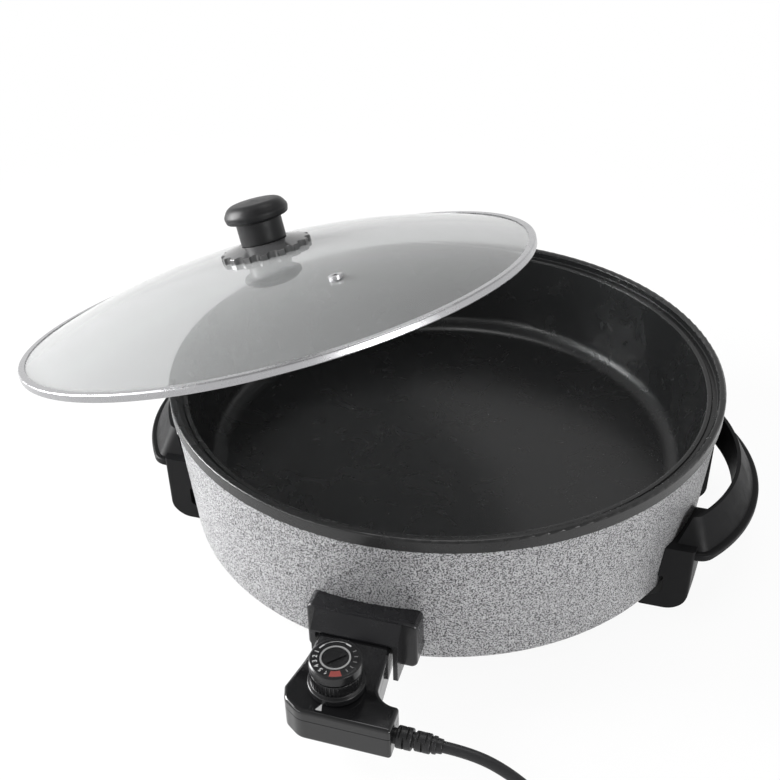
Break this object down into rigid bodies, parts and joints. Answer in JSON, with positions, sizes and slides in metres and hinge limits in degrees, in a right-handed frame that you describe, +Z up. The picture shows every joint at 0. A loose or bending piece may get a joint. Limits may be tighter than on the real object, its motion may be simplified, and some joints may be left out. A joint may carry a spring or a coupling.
{
  "type": "electric skillet",
  "caption": "Round electric skillet with a deep non-stick pan, a loose domed glass lid, side handles that form its feet, and a plug-in controller with a dial on a mains cord.",
  "frame": {"origin": "on the pan's vertical axis at table level, where the feet stand", "axes": "+X through the handles, +Z up, the controller's socket on -Y"},
  "size_m": [0.6707, 0.5875, 0.2283],
  "materials": {
    "nonstick_black": "semi-matte non-stick coating",
    "hammered_silver": "hammered silver enamel",
    "bare_aluminium": "satin",
    "plain_steel": "zinc plated",
    "polished_steel": "polished",
    "brass_contact": "plain",
    "white_ceramic": "ceramic",
    "matte_black": "matte moulded",
    "satin_black": "satin moulded",
    "gloss_black": "gloss moulded",
    "white_mark": "printed white",
    "cord_rubber": "smooth matte",
    "clear_glass": "clear tempered"
  },
  "bodies": {
    "pan": {"inner_pan": "nonstick_black", "outer_shell": "hammered_silver", "heat_plate": "bare_aluminium", "heating_element": "plain_steel", "terminal_pins": "polished_steel", "pin_insulators": "white_ceramic", "probe_tube": "bare_aluminium", "base_studs": "plain_steel", "base_washers": "plain_steel", "base_nuts": "plain_steel", "handle_right": "matte_black", "handle_left": "matte_black", "handle_screws": "plain_steel", "handle_brackets": "plain_steel", "socket_guard": "satin_black", "guard_screws": "plain_steel"},
    "lid": {"lid_glass": "clear_glass", "lid_band": "polished_steel", "vent_eyelet": "polished_steel", "knob_flange": "matte_black", "knob": "satin_black", "knob_insert": "brass_contact", "knob_washer": "cord_rubber", "knob_screw": "polished_steel"},
    "controller": {"controller_lower_shell": "gloss_black", "controller_upper_shell": "gloss_black", "housing_screws": "plain_steel", "thermostat_switch": "matte_black", "probe_rod": "polished_steel", "contact_sleeves": "brass_contact", "strain_relief": "cord_rubber", "cord_clamp": "matte_black", "cord": "cord_rubber", "cord_coil": "cord_rubber", "coil_tie": "matte_black", "cord_tail": "cord_rubber", "plug_body": "satin_black", "plug_pins": "polished_steel"},
    "dial": {"dial_spindle": "brass_contact", "dial": "matte_black", "dial_ring": "white_mark", "dial_cap": "matte_black"}
  },
  "joints": [
    {"name": "lid_lift", "type": "slide", "parent": "pan", "child": "lid", "axis": [0, 0, 1], "range_m": [0, 0.15]},
    {"name": "controller_pull", "type": "slide", "parent": "pan", "child": "controller", "axis": [0, -1, 0], "range_m": [0, 0.11]},
    {"name": "dial_turn", "type": "hinge", "parent": "controller", "child": "dial", "pos_m": [0, -0.2505, 0.05], "axis": [0, 0, 1], "range_deg": [-25, 265]}
  ]
}
